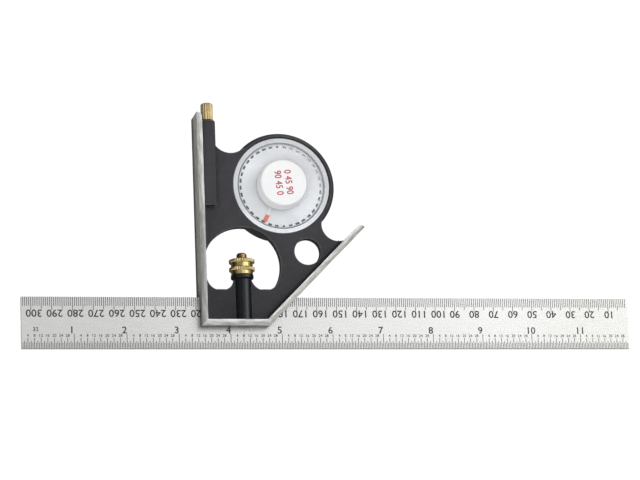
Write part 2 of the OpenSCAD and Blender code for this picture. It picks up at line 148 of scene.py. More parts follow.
def grainGroup():
    # Noise that can be drawn out along one direction, as two shades apart
    group, given = newGroup(
        "grain", "ShaderNodeTree",
        [
            ("Scale", "Float", 500.0), ("Stretch", "Vector", (1, 1, 1)),
            ("Turn", "Vector", (0, 0, 0)), ("Detail", "Float", 3.0),
            ("Low", "Float", 0.0), ("High", "Float", 1.0),
        ],
        "Shade",
    )
    place = addNode(group, "ShaderNodeTexCoord").outputs["Object"]
    turned = addNode(group, "ShaderNodeMapping", {"Vector": place, "Rotation": given["Turn"]})
    drawn = vectors(group, "MULTIPLY", turned.outputs["Vector"], given["Stretch"])
    noise = addNode(group, "ShaderNodeTexNoise", {
        "Vector": drawn.outputs[0], "Scale": given["Scale"],
        "Detail": given["Detail"], "Roughness": 0.6,
    })
    spread = ramp(
        group, noise.outputs["Fac"], start=0.3, end=0.7, low=given["Low"], high=given["High"],
        kind="SMOOTHSTEP",
    )
    return closed(group, spread)


def edgeRubGroup():
    # Mask of the edges, broken up by noise: lighter where handling rubs the finish, and a painted
    # highlight on rounded edges
    group, given = newGroup(
        "edgeWearAndHighlight", "ShaderNodeTree",
        [("Reach", "Float", 0.0004), ("Strength", "Float", 1.0)],
        "Mask",
    )
    rounded = addNode(group, "ShaderNodeBevel", {"Radius": given["Reach"]}, samples=4)
    flat = addNode(group, "ShaderNodeNewGeometry")
    turn = vectors(group, "DOT_PRODUCT", rounded.outputs["Normal"], flat.outputs["Normal"])
    edge = ramp(group, turn.outputs["Value"], start=0.99, end=0.8)
    place = addNode(group, "ShaderNodeTexCoord").outputs["Object"]
    breakup = addNode(group, "ShaderNodeTexNoise", {"Vector": place, "Scale": 420.0, "Detail": 4.0})
    patchy = ramp(group, breakup.outputs["Fac"], start=0.3, end=0.6, high=given["Strength"])
    mask = maths(group, "MULTIPLY", edge, patchy)
    return closed(group, mask)


def grooveGroup():
    # Fine grooves at an even pitch along Y, for threads
    group, given = newGroup(
        "grooves", "ShaderNodeTree",
        [("Pitch", "Float", 0.0008)],
        "Height",
    )
    place = addNode(group, "ShaderNodeTexCoord").outputs["Object"]
    parts = addNode(group, "ShaderNodeSeparateXYZ", {"Vector": place})
    wave = maths(group, "PINGPONG", parts.outputs["Y"], given["Pitch"])
    height = maths(group, "DIVIDE", wave, given["Pitch"])
    return closed(group, height)


def slopeGroup():
    # Ramp from 0 to 1 along a direction, between two places on it; Level 1 keeps
    # it to the faces that look up or down
    group, given = newGroup(
        "slope", "ShaderNodeTree",
        [
            ("Direction", "Vector", (1, 0, 0)), ("From", "Float", 0.0), ("To", "Float", 0.01),
            ("Most", "Float", 1.0), ("Level", "Float", 0.0),
        ],
        "Shade",
    )
    place = addNode(group, "ShaderNodeTexCoord")
    along = vectors(group, "DOT_PRODUCT", place.outputs["Object"], given["Direction"])
    rise = ramp(
        group, along.outputs["Value"], start=given["From"], end=given["To"], high=given["Most"],
        kind="SMOOTHSTEP",
    )
    upright = addNode(group, "ShaderNodeSeparateXYZ", {"Vector": place.outputs["Normal"]})
    facing = maths(group, "ABSOLUTE", upright.outputs["Z"])
    kept = blend(group, given["Level"], 1.0, facing)
    shade = maths(group, "MULTIPLY", rise, kept)
    return closed(group, shade)


def rimGroup():
    # Ramp from 1 to 0 away from a circle about an upright axis
    group, given = newGroup(
        "rim", "ShaderNodeTree",
        [("Centre", "Vector", (0, 0, 0)), ("Radius", "Float", 0.02), ("Width", "Float", 0.001)],
        "Shade",
    )
    place = addNode(group, "ShaderNodeTexCoord").outputs["Object"]
    offset = vectors(group, "SUBTRACT", place, given["Centre"])
    level = vectors(group, "MULTIPLY", offset.outputs[0], (1, 1, 0))
    radius = vectors(group, "LENGTH", level.outputs[0])
    outer = maths(group, "ADD", given["Radius"], given["Width"])
    fall = ramp(
        group, radius.outputs["Value"], start=given["Radius"], end=outer, low=1.0, high=0.0,
        kind="SMOOTHSTEP",
    )
    return closed(group, fall)


def creviceGroup():
    # Mask of the places close under another surface, darkened there as painted shade
    group, given = newGroup(
        "creviceShade", "ShaderNodeTree",
        [("Reach", "Float", 0.005), ("Strength", "Float", 0.9)],
        "Mask",
    )
    light = addNode(group, "ShaderNodeAmbientOcclusion", {"Distance": given["Reach"]}, samples=8)
    mask = ramp(group, light.outputs["AO"], start=1.0, end=0.7, high=given["Strength"])
    return closed(group, mask)


grain = grainGroup()
edgeWearAndHighlight = edgeRubGroup()
creviceShade = creviceGroup()
grooves = grooveGroup()
slope = slopeGroup()
rim = rimGroup()


def finish(name, look):
    # One material: look holds its two shades and the scale of the broad grain between
    # them, the fine grain with the ends of the roughness and the bump, and its effects
    material = bpy.data.materials.new(name)
    material.use_nodes = True
    tree = material.node_tree
    shader = tree.nodes["Principled BSDF"]
    shader.inputs["Metallic"].default_value = look.get("metallic", 0.0)
    shader.inputs["Specular IOR Level"].default_value = look.get("specular", 0.5)
    shader.inputs["Specular Tint"].default_value = (*look.get("shineTint", (1, 1, 1)), 1)

    def shade(group, inputs):
        return addNode(tree, "ShaderNodeGroup", inputs, node_tree=group).outputs[0]

    def grainShade(scale, low=0.0, high=1.0):
        return shade(grain, {
            "Scale": scale, "Stretch": look.get("stretch", (1, 1, 1)),
            "Turn": (0, 0, radians(look.get("turn", 0))), "Low": low, "High": high,
        })

    def coloured(factor, first, second, mode="MIX"):
        return blend(tree, factor, first, (*second, 1), data_type="RGBA", blend_type=mode)

    colour = coloured(grainShade(look["grain"]), (*look["dark"], 1), look["light"])
    rough = grainShade(look["fine"], *look["rough"])
    effects = [(slope, "MULTIPLY", values) for values in look.get("slopes", ())]
    for key, group, mode in (
        ("rim", rim, "MULTIPLY"), ("creviceShade", creviceShade, "MIX"), ("wearAndHighlight", edgeWearAndHighlight, "MIX"),
    ):
        if key in look:
            effects.append((group, mode, look[key]))
    for group, mode, values in effects:
        # A name with a capital is an input of the group, the rest says what its mask does
        mask = shade(group, {label: values[label] for label in values if label[0].isupper()})
        colour = coloured(mask, colour, values["tint"], values.get("mode", mode))
        if "rough" in values:
            rough = blend(tree, mask, rough, values["rough"])
    tree.links.new(colour, shader.inputs["Base Color"])
    tree.links.new(rough, shader.inputs["Roughness"])
    if "thread" in look:
        height = shade(grooves, {"Pitch": look["thread"] / 2})
    else:
        height = grainShade(look["fine"])
    bump = addNode(tree, "ShaderNodeBump", {"Height": height, "Distance": look["bump"]})
    tree.links.new(bump.outputs["Normal"], shader.inputs["Normal"])
    return material


# Places that finishes and pieces start from
headLow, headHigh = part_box("head_casting")
clampAxis = midPoint("clamp_nut")
dialCentre = midPoint("bezel_ring")
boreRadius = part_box("bezel_ring")[1].x - dialCentre.x
head = {
    "baseWidth": 33.35 * mm, "mitreLength": 69.6 * mm, "edge": 0.25 * mm,
    "faceReach": 0.32 * mm, "breakReach": 1.0 * mm, "ringOuter": 26.9 * mm, "ringRound": 1.0 * mm,
    "strip": 3 * mm, "endReach": 2.2 * mm, "mitreEnd": 4 * mm,
}
post = {
    "radius": 4.5 * mm, "skin": 0.03 * mm, "sunk": 0.2 * mm, "foot": 2.7 * mm,
    "top": 23.4 * mm, "openHalf": 1.0 * mm, "faces": 40,
}
diagonal = Vector((1, -1, 0)).normalized()
mitreCorner = Vector((headLow.x + head["baseWidth"], headLow.y, 0))
toDialTop = Vector((0.5, 0.87, 0)).normalized()
toDialLight = Vector((cos(radians(38)), sin(radians(38)), 0))
toRingTop = Vector((0.35, 0.94, 0))
ruleLow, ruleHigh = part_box("rule")


def fade(place, direction, start, end, tint, **more):
    # A slope's values, with its ends measured from a place
    foot = Vector(direction).dot(place)
    return {"Direction": direction, "From": foot + start, "To": foot + end, "tint": tint, **more}


# Finishes, colours as linear values
enamel = finish("charcoalEnamel", {
    "dark": (0.0168, 0.016, 0.0215), "light": (0.0242, 0.023, 0.0292), "grain": 110,
    "fine": 1900, "rough": (0.42, 0.56), "bump": 0.03 * mm, "specular": 0.4,
    "slopes": (
        # painted shade: the enamel darkens toward the bottom of the head
        fade(Vector((0, 0, 0)), toRingTop, start=-10 * mm, end=-60 * mm, tint=(0.5, 0.5, 0.52)),
        # painted highlight: a lighter band over the top of the dial ring
        fade(
            dialCentre, toRingTop, start=21.5 * mm, end=25.5 * mm,
            tint=(0.045, 0.045, 0.046), mode="MIX",
        ),
    ),
    # painted shade: the enamel darkens in its hollows and under raised parts
    "creviceShade": {"Reach": 2.2 * mm, "tint": (0.006, 0.006, 0.008)},
    # painted shadow: a dark line round the dial bore, widest toward the upper right
    "rim": {
        "Centre": dialCentre + Vector((0.35, 0.35, 0)) * mm, "Radius": boreRadius,
        "Width": 0.7 * mm, "tint": (0.05, 0.05, 0.055), "rough": 0.95,
    },
    # painted highlight: the rounded enamel edges turn lighter, broken up like rubbed wear
    "wearAndHighlight": {"Reach": 1.0 * mm, "Strength": 1.0, "tint": (0.12, 0.12, 0.125)},
})
postBlack = finish("postGlossBlack", {
    "dark": (0.006, 0.006, 0.007), "light": (0.009, 0.009, 0.01), "grain": 160,
    "fine": 1500, "rough": (0.18, 0.26), "bump": 0.001 * mm, "specular": 0.32,
    "shineTint": (0.82, 0.92, 1.0),
})
blackSteel = finish("blackSteel", {
    "dark": (0.006, 0.006, 0.007), "light": (0.01, 0.01, 0.011), "grain": 300,
    "stretch": (0.1, 1, 0.1), "fine": 2600, "rough": (0.22, 0.34), "bump": 0.01 * mm,
    "specular": 0.4, "wearAndHighlight": {"Reach": 0.2 * mm, "Strength": 0.7, "tint": (0.12, 0.11, 0.1)},
})
milledLook = {
    "metallic": 0.92, "grain": 1300, "fine": 1500, "rough": (0.4, 0.58), "bump": 0.014 * mm,
    # painted shade: the milled faces darken close to the rule and other surfaces
    "creviceShade": {"Reach": 8 * mm, "tint": (0.035, 0.037, 0.032)},
}
# The level face of a flange darkens toward its outer edge, as painted shade
milledFade = {"start": -3.8 * mm, "end": -0.3 * mm, "tint": (0.5, 0.5, 0.49), "Level": 1.0}
milledUpright = finish("milledUpright", {
    **milledLook, "dark": (0.6, 0.605, 0.585), "light": (0.99, 0.995, 0.98),
    "stretch": (1, 0.12, 1), "slopes": (
        fade(headLow, (-1, 0, 0), **milledFade),
        # painted shade: the upright's level faces darken toward the bottom
        fade(
            headHigh, (0, 1, 0), start=-15 * mm, end=headLow.y + 38 * mm - headHigh.y,
            tint=(0.62, 0.62, 0.62), Level=1.0,
        ),
        # the upright's outer side face is tinted darker and olive; its darkening is painted shade
        fade(headLow, (-1, 0, 0), start=-0.2 * mm, end=0, tint=(0.72, 0.72, 0.65)),
    ),
})
milledBase = finish("milledBase", {
    **milledLook, "dark": (0.55, 0.555, 0.535), "light": (0.97, 0.975, 0.955),
    "stretch": (0.12, 1, 1), "slopes": (fade(headLow, (0, -1, 0), **milledFade),),
})
milledMitre = finish("milledMitre", {
    **milledLook, "dark": (0.49, 0.495, 0.475), "light": (0.92, 0.925, 0.9),
    "stretch": (0.12, 1, 1), "turn": -45,
    "slopes": (fade(mitreCorner, diagonal, **milledFade),),
})
ruleSteel = finish("ruleSatin", {
    "dark": (0.583, 0.583, 0.573), "light": (0.615, 0.615, 0.605), "metallic": 0.75,
    "stretch": (0.1, 1, 1), "grain": 1300, "fine": 3000, "rough": (0.25, 0.31),
    "bump": 0.0002 * mm, "slopes": (
        # painted shade: the blade darkens toward both its ends
        fade(ruleHigh, (1, 0, 0), start=-78 * mm, end=0, tint=(0.84, 0.835, 0.82)),
        fade(ruleLow, (-1, 0, 0), start=-85 * mm, end=-45 * mm, tint=(0.935, 0.935, 0.935)),
    ),
})
# painted shade: a darker copy of the blade's steel for its side walls and ends
ruleEdge = finish("ruleEdge", {
    "dark": (0.1, 0.1, 0.1), "light": (0.2, 0.2, 0.2), "metallic": 0.8,
    "stretch": (0.03, 1, 1), "grain": 900, "fine": 5000, "rough": (0.4, 0.5),
    "bump": 0.004 * mm,
})
markInk = finish("graduationBlack", {
    "dark": (0.02, 0.02, 0.02), "light": (0.04, 0.04, 0.04), "grain": 900,
    "fine": 4000, "rough": (0.5, 0.7), "bump": 0.002 * mm,
})
brass = finish("turnedBrass", {
    "dark": (0.43, 0.32, 0.12), "light": (0.8, 0.66, 0.33), "metallic": 1.0,
    "grain": 520, "stretch": (1, 0.4, 1), "fine": 2600, "rough": (0.26, 0.38),
    "bump": 0.003 * mm,
})
knobBrass = finish("satinBrass", {
    "dark": (0.56, 0.42, 0.2), "light": (0.78, 0.63, 0.34), "metallic": 1.0,
    "grain": 900, "stretch": (1, 0.08, 1), "fine": 1200, "rough": (0.38, 0.48),
    "bump": 0.002 * mm,
})
brassStud = finish("studBrass", {
    "dark": (0.2, 0.13, 0.045), "light": (0.42, 0.3, 0.12), "metallic": 1.0,
    "grain": 700, "fine": 3200, "rough": (0.3, 0.42), "bump": 0.05 * mm,
    "thread": 0.8 * mm,
})
brassPlain = finish("plainBrass", {
    "dark": (0.52, 0.36, 0.14), "light": (0.74, 0.55, 0.27), "metallic": 1.0,
    "grain": 600, "fine": 3200, "rough": (0.3, 0.45), "bump": 0.008 * mm,
})
groundSteel = finish("groundSteel", {
    "dark": (0.4, 0.4, 0.41), "light": (0.6, 0.6, 0.61), "metallic": 1.0,
    "stretch": (1, 0.1, 1), "grain": 900, "fine": 3500, "rough": (0.22, 0.36),
    "bump": 0.006 * mm,
})
springSteel = finish("springSteel", {
    "dark": (0.26, 0.26, 0.27), "light": (0.48, 0.48, 0.49), "metallic": 1.0,
    "grain": 1200, "fine": 4000, "rough": (0.3, 0.45), "bump": 0.006 * mm,
})
blackNylon = finish("blackNylon", {
    "dark": (0.018, 0.018, 0.02), "light": (0.03, 0.03, 0.032), "grain": 700,
    "fine": 2800, "rough": (0.5, 0.65), "bump": 0.015 * mm,
})
caseWhite = finish("caseWhite", {
    "dark": (0.7, 0.72, 0.75), "light": (0.78, 0.795, 0.82), "grain": 150,
    "fine": 1500, "rough": (0.3, 0.4), "bump": 0.008 * mm,
})
bezelWhite = finish("bezelWhite", {
    "dark": (0.78, 0.805, 0.85), "light": (0.9, 0.92, 0.95), "grain": 240,
    "fine": 1700, "rough": (0.26, 0.36), "bump": 0.01 * mm,
    "slopes": (
        # painted shade: the bezel greys toward its top
        fade(dialCentre, (0, 1, 0), start=-21 * mm, end=-6 * mm, tint=(0.74, 0.74, 0.74)),
    ),
})
cardWhite = finish("dialCard", {
    "dark": (0.71, 0.725, 0.74), "light": (0.74, 0.755, 0.77), "grain": 60,
    "fine": 2600, "rough": (0.5, 0.62), "bump": 0.006 * mm,
    # painted shade: the card darkens toward its top
    "slopes": (fade(dialCentre, toDialTop, start=0, end=17 * mm, tint=(0.86, 0.855, 0.855)),),
})
hubWhite = finish("hubWhite", {
    "dark": (0.8, 0.805, 0.815), "light": (0.84, 0.84, 0.845), "grain": 130,
    "fine": 1400, "rough": (0.28, 0.38), "bump": 0.006 * mm,
})
pointerWhite = finish("pointerWhite", {
    "dark": (0.76, 0.78, 0.8), "light": (0.84, 0.85, 0.86), "grain": 300,
    "fine": 2600, "rough": (0.45, 0.6), "bump": 0.004 * mm,
})
pointerRed = finish("pointerRed", {
    "dark": (0.58, 0.1, 0.07), "light": (0.7, 0.15, 0.1), "grain": 700,
    "fine": 2600, "rough": (0.4, 0.55), "bump": 0.004 * mm,
})
printLook = {"grain": 1500, "fine": 4000, "rough": (0.45, 0.6), "bump": 0.002 * mm}
printBlue = finish("printDark", {
    **printLook, "dark": (0.012, 0.016, 0.024), "light": (0.02, 0.026, 0.036),
    "slopes": (
        # painted reflection: the numerals turn paler toward the lit upper right
        fade(
            dialCentre, toDialLight, start=11 * mm, end=18.5 * mm, tint=(0.55, 0.56, 0.56),
            Most=0.62, mode="MIX",
        ),
    ),
})
printGrey = finish("printGrey", {
    **printLook, "dark": (0.34, 0.36, 0.4), "light": (0.44, 0.46, 0.5),
})
printRed = finish("printRed", {
    **printLook, "dark": (0.4, 0.02, 0.035), "light": (0.5, 0.035, 0.055),
    "rough": (0.4, 0.55),
})


def lensFinish():
    # Clear moulding that lets the lamps through to the card
    material = finish("clearLens", {
        "dark": (0.95, 0.96, 0.97), "light": (1.0, 1.0, 1.0), "grain": 60,
        "fine": 300, "rough": (0.02, 0.05), "bump": 0.0,
    })
    tree = material.node_tree
    shader = tree.nodes["Principled BSDF"]
    shader.inputs["IOR"].default_value = 1.47
    shader.inputs["Transmission Weight"].default_value = 1.0
    path = addNode(tree, "ShaderNodeLightPath")
    through = addNode(tree, "ShaderNodeBsdfTransparent", {"Color": (0.97, 0.98, 0.99, 1)})
    mix = addNode(tree, "ShaderNodeMixShader", {
        0: path.outputs["Is Shadow Ray"], 1: shader.outputs[0], 2: through.outputs[0],
    })
    tree.links.new(mix.outputs[0], tree.nodes["Material Output"].inputs["Surface"])
    return material


clearLens = lensFinish()
print("finishes made")


# CAD shapes with their edges eased

# How near counts as the same place, the angles in degrees that join or part faces, and
# how level a face's normal is on top or at an edge
limits = {
    "weld": 0.0005 * mm, "plane": 0.001 * mm, "level": 0.01 * mm, "circle": 0.02 * mm,
    "flat": 0.5, "sharp": 32, "facingUp": 0.999, "ruleEdge": 0.5, "lensEdge": 0.3,
}


def roundRim(work, centre, radius, width):
    # Rounds the top outer edge of an upright ring
    around = [
        vert for vert in work.verts
        if abs((vert.co.xy - centre.xy).length - radius) < limits["circle"]
    ]
    top = max(vert.co.z for vert in around)
    rim = {vert for vert in around if vert.co.z > top - limits["level"]}
    edges = [edge for edge in work.edges if rim.issuperset(edge.verts)]
    bmesh.ops.bevel(
        work, geom=edges, offset=width, offset_type="OFFSET", segments=4, profile=0.5,
        affect="EDGES", clamp_overlap=True,
    )


def partFaces(work, cuts):
    # Parts the top and bottom faces that planes of (place, normal) cross
    heights = [vert.co.z for vert in work.verts]
    middle, reach = (max(heights) + min(heights)) / 2, (max(heights) - min(heights)) / 2
    for place, normal in cuts:
        level = [
            face for face in work.faces
            if abs(face.verts[0].co.z - middle) > reach - limits["level"]
            and abs(face.normal.z) > limits["facingUp"]
        ]
        joined = {part for face in level for part in (*face.edges, *face.verts)}
        bmesh.ops.bisect_plane(
            work, geom=level + list(joined), plane_co=place, plane_no=normal, dist=limits["plane"]
        )


def easeEdges(piece, edge, segments, cutter):
    # Takes the cutter's inside away and then rounds what is sharp
    if cutter:
        less = piece.modifiers.new("trim", "BOOLEAN")
        less.operation = "DIFFERENCE"
        less.solver = "EXACT"
        less.object = cutter
    if edge:
        bevel = piece.modifiers.new("edge", "BEVEL")
        bevel.width = edge
        bevel.segments = segments
        bevel.limit_method = "ANGLE"
        bevel.angle_limit = radians(limits["sharp"])
        bevel.use_clamp_overlap = True
        bevel.harden_normals = True
    piece.data = plainMesh(piece, piece.name)
    piece.modifiers.clear()


def easedCopy(
    node, pieceName, material, edge, segments=2, cuts=(), trim=None, rims=(),
):
    # trim is a mesh whose inside is taken away; rims holds (centre, radius, width) of
    # ring edges to round
    mesh = frame["nodes"][node].data.copy()
    work = bmesh.new()
    work.from_mesh(mesh)
    bmesh.ops.remove_doubles(work, verts=work.verts, dist=limits["weld"])
    bmesh.ops.dissolve_limit(
        work, angle_limit=radians(limits["flat"]), verts=work.verts, edges=work.edges
    )
    partFaces(work, cuts)
    for centre, radius, width in rims:
        roundRim(work, centre, radius, width)
    work.to_mesh(mesh)
    work.free()
    mesh.materials.clear()
    mesh.materials.append(material)
    for face in mesh.polygons:
        face.material_index = 0
    piece = newObject(pieceName, mesh)
    mesh.shade_smooth()
    mesh.set_sharp_from_angle(angle=radians(limits["sharp"]))
    cutter = newObject("cutter", trim) if trim else None
    easeEdges(piece, edge, segments, cutter)
    if cutter:
        bpy.data.objects.remove(cutter)
    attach(piece, bodyOf[node])
    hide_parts(node)
    return piece


def prism(corners, bottom, top):
    # Closed upright solid over a polygon
    work = bmesh.new()
    lower = [work.verts.new((x, y, bottom)) for x, y in corners]
    upper = [work.verts.new((x, y, top)) for x, y in corners]
    work.faces.new(lower[::-1])
    work.faces.new(upper)
    for index, corner in enumerate(lower):
        after = (index + 1) % len(lower)
        work.faces.new((corner, lower[after], upper[after], upper[index]))
    mesh = bpy.data.meshes.new("prism")
    work.to_mesh(mesh)
    work.free()
    return mesh


# Cast head: enamel inside, faces and edges of the flanges milled bare
mitreJoint = Vector((cos(pi / 8), sin(pi / 8), 0))

# The web's fillet along the mitre flange stops level with the notch above it
filletEnd = {
    "left": 4.6 * mm, "foot": -7.65 * mm, "right": 6.97 * mm, "rise": 3.33 * mm,
    "bottom": 2.5 * mm, "top": 12.5 * mm,
}
filletHead = filletEnd["foot"] + filletEnd["rise"]
filletTrim = prism(
    (
        (filletEnd["left"], filletEnd["foot"]), (filletEnd["right"], filletEnd["foot"]),
        (filletEnd["right"] + filletEnd["rise"], filletHead), (filletEnd["left"], filletHead),
    ),
    filletEnd["bottom"], filletEnd["top"],
)
headPiece = easedCopy(
    "head_casting", "headShell", enamel, head["edge"],
    cuts=((headLow, diagonal), (mitreCorner, mitreJoint)), trim=filletTrim,
    rims=((dialCentre, head["ringOuter"], head["ringRound"]),),
)
milledSlots = {}
for name, extra in (("upright", milledUpright), ("base", milledBase), ("mitre", milledMitre)):
    milledSlots[name] = len(headPiece.data.materials)
    headPiece.data.materials.append(extra)
for face in headPiece.data.polygons:
    x = face.center.x - headLow.x
    y = face.center.y - headLow.y
    frontOrBack = face.center.z > headHigh.z - head["faceReach"] or (
        face.center.z < headLow.z + head["faceReach"]
    )
    fromMitre = (head["baseWidth"] - x + y) / sqrt(2)
    alongMitre = (x + y - head["baseWidth"]) / sqrt(2)
    pastJoint = (face.center - mitreCorner).dot(mitreJoint) > 0
    if x < y and (
        x < head["breakReach"] or frontOrBack and x < head["strip"]
        or y > headHigh.y - headLow.y - head["endReach"]
    ):
        face.material_index = milledSlots["upright"]
    elif pastJoint and (
        fromMitre < head["breakReach"] or frontOrBack and fromMitre < head["strip"]
        or fromMitre < head["mitreEnd"] and alongMitre > head["mitreLength"] - head["endReach"]
    ):
        face.material_index = milledSlots["mitre"]
    elif y < head["breakReach"] or frontOrBack:
        face.material_index = milledSlots["base"]
print("head made:", len(headPiece.data.polygons), "faces")


def shellHalf(side):
    # Thin half tube of black gloss on the front or the back of the clamp post
    lowest = asin(post["openHalf"] / post["radius"])
    work = bmesh.new()
    rings = []
    for level in (headLow.y + post["foot"], headLow.y + post["top"]):
        for radius in (post["radius"] - post["sunk"], post["radius"] + post["skin"]):
            ring = []
            for step in range(post["faces"] + 1):
                angle = lowest + (pi - 2 * lowest) * step / post["faces"]
                ring.append(work.verts.new((
                    clampAxis.x + radius * cos(angle), level,
                    clampAxis.z + side * radius * sin(angle),
                )))
            rings.append(ring)
    for first, second in ((0, 1), (1, 3), (3, 2), (2, 0)):
        for step in range(post["faces"]):
            work.faces.new((
                rings[first][step], rings[first][step + 1],
                rings[second][step + 1], rings[second][step],
            ))
    for step in (0, -1):
        work.faces.new([rings[index][step] for index in (0, 1, 3, 2)])
    bmesh.ops.recalc_face_normals(work, faces=work.faces)
    mesh = bpy.data.meshes.new("postSkin")
    work.to_mesh(mesh)
    work.free()
    mesh.materials.append(postBlack)
    mesh.shade_smooth()
    mesh.set_sharp_from_angle(angle=radians(limits["sharp"]))
    return mesh


for name, side in (("postSkinFront", 1), ("postSkinBack", -1)):
    skin = newObject(name, shellHalf(side))
    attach(skin, bodyOf["head_casting"])


# Graduated rule
ruleBlade = easedCopy("rule", "ruleBlade", ruleSteel, 0.12 * mm)
ruleBlade.data.materials.append(ruleEdge)
# painted shade: the side walls and ends take the darker steel
for face in ruleBlade.data.polygons:
    if abs(face.normal.z) < limits["ruleEdge"]:
        face.material_index = 1


def inkedMarks(group, given, places):
    # Cubes on the places that are given, as one mesh with the ink on it
    mark = addNode(group, "GeometryNodeMeshCube", {"Size": (1, 1, 1)})
    marks = addNode(group, "GeometryNodeInstanceOnPoints", {
        "Instance": mark.outputs["Mesh"], **places,
    })
    real = addNode(group, "GeometryNodeRealizeInstances", {"Geometry": marks.outputs[0]})
    return addNode(group, "GeometryNodeSetMaterial", {
        "Geometry": real.outputs[0], "Material": given["Ink"],
    }).outputs[0]


def tickRowTree():
    # A row of upright marks on X whose length depends on their place in the row
    group, given = newGroup(
        "tickRow", "GeometryNodeTree",
        [
            ("Count", "Int", 10), ("Pitch", "Float", 1 * mm),
            ("Width", "Float", 0.2 * mm), ("Thickness", "Float", 0.02 * mm),
            ("Base Length", "Float", 3 * mm),
            ("Every A", "Int", 2), ("Length A", "Float", 3 * mm),
            ("Every B", "Int", 4), ("Length B", "Float", 3 * mm),
            ("Every C", "Int", 8), ("Length C", "Float", 3 * mm),
            ("Ink", "Material", None),
        ],
        "Geometry", "Geometry",
    )
    step = addNode(group, "ShaderNodeCombineXYZ", {"X": given["Pitch"]})
    row = addNode(group, "GeometryNodeMeshLine", {
        "Count": given["Count"], "Start Location": step.outputs[0], "Offset": step.outputs[0],
    })
    index = addNode(group, "GeometryNodeInputIndex")
    number = maths(group, "ADD", index.outputs[0], 1.0)
    length = given["Base Length"]
    for level in "ABC":
        rest = maths(group, "MODULO", number, given["Every " + level])
        hit = maths(group, "LESS_THAN", rest, 0.5)
        length = addNode(group, "GeometryNodeSwitch", {
            "Switch": hit, "False": length, "True": given["Length " + level],
        }, input_type="FLOAT").outputs[0]
    half = maths(group, "MULTIPLY", length, 0.5)
    lift = addNode(group, "ShaderNodeCombineXYZ", {"Y": half})
    placed = addNode(group, "GeometryNodeSetPosition", {
        "Geometry": row.outputs["Mesh"], "Offset": lift.outputs[0],
    })
    size = addNode(group, "ShaderNodeCombineXYZ", {
        "X": given["Width"], "Y": length, "Z": given["Thickness"],
    })
    return closed(group, inkedMarks(group, given, {
        "Points": placed.outputs[0], "Scale": size.outputs[0],
    }))


def tickRingTree():
    # Marks set radially on a circle
    group, given = newGroup(
        "tickRing", "GeometryNodeTree",
        [
            ("Count", "Int", 36), ("Radius", "Float", 20 * mm),
            ("Length", "Float", 1 * mm), ("Width", "Float", 0.1 * mm),
            ("Thickness", "Float", 0.02 * mm), ("Ink", "Material", None),
        ],
        "Geometry", "Geometry",
    )
    ring = addNode(group, "GeometryNodeMeshCircle", {
        "Vertices": given["Count"], "Radius": given["Radius"],
    })
    index = addNode(group, "GeometryNodeInputIndex")
    share = maths(group, "DIVIDE", index.outputs[0], given["Count"])
    angle = maths(group, "MULTIPLY", share, 2 * pi)
    turn = addNode(group, "ShaderNodeCombineXYZ", {"Z": angle})
    size = addNode(group, "ShaderNodeCombineXYZ", {
        "X": given["Length"], "Y": given["Width"], "Z": given["Thickness"],
    })
    return closed(group, inkedMarks(group, given, {
        "Points": ring.outputs[0], "Rotation": turn.outputs[0], "Scale": size.outputs[0],
    }))


def runTree(piece, group, values, meshName):
    # Runs a tree once on a piece, with its values by name, and returns the mesh it makes
    modifier = piece.modifiers.new("nodes", "NODES")
    modifier.node_group = group
    sockets = {
        item.name: item.identifier for item in group.interface.items_tree
        if item.item_type == "SOCKET" and item.in_out == "INPUT"
    }
    for name, value in values.items():
        modifier[sockets[name]] = value
    return plainMesh(piece, meshName)


def marksPiece(pieceName, group, values, place):
    piece = newObject(pieceName, bpy.data.meshes.new(pieceName))
    mesh = runTree(piece, group, values, pieceName)
    mesh.transform(place)
    piece.modifiers.clear()
    piece.data = mesh
    return piece


tickRow = tickRowTree()
tickRing = tickRingTree()
ink = {"width": 0.3 * mm, "thickness": 0.016 * mm, "sunk": 0.004 * mm, "inset": 0.1 * mm}
inchLength = 25.4 * mm
inkLift = ink["thickness"] / 2 - ink["sunk"]
ruleTop = ruleHigh.z + inkLift

metric = {"count": 304, "pitch": 1 * mm, "short": 4.4 * mm, "half": 5.8 * mm, "full": 6.6 * mm}
metricStart = Matrix.Translation((ruleHigh.x, ruleHigh.y - ink["inset"], ruleTop))
metricTicks = marksPiece("metricTicks", tickRow, {
    "Count": metric["count"], "Pitch": metric["pitch"], "Width": ink["width"],
    "Thickness": ink["thickness"], "Base Length": metric["short"],
    "Every A": 5, "Length A": metric["half"], "Every B": 10, "Length B": metric["full"],
    "Every C": 10, "Length C": metric["full"], "Ink": markInk,
}, metricStart @ Matrix.Rotation(pi, 4, "Z"))

inch = {
    "count": 383, "pitch": inchLength / 32, "thirtySecond": 2.9 * mm, "sixteenth": 3.7 * mm,
    "eighth": 5.2 * mm, "inch": 7.3 * mm,
}
inchTicks = marksPiece("inchTicks", tickRow, {
    "Count": inch["count"], "Pitch": inch["pitch"], "Width": ink["width"],
    "Thickness": ink["thickness"], "Base Length": inch["thirtySecond"],
    "Every A": 2, "Length A": inch["sixteenth"], "Every B": 4, "Length B": inch["eighth"],
    "Every C": 32, "Length C": inch["inch"], "Ink": markInk,
}, Matrix.Translation((ruleLow.x, ruleLow.y + ink["inset"], ruleTop)))

glyphs = {}
numeralShape = {
    "resolution": 3, "boldest": 0.05, "shift": 0.7, "step": 0.1, "weld": 0.0001 * mm,
}


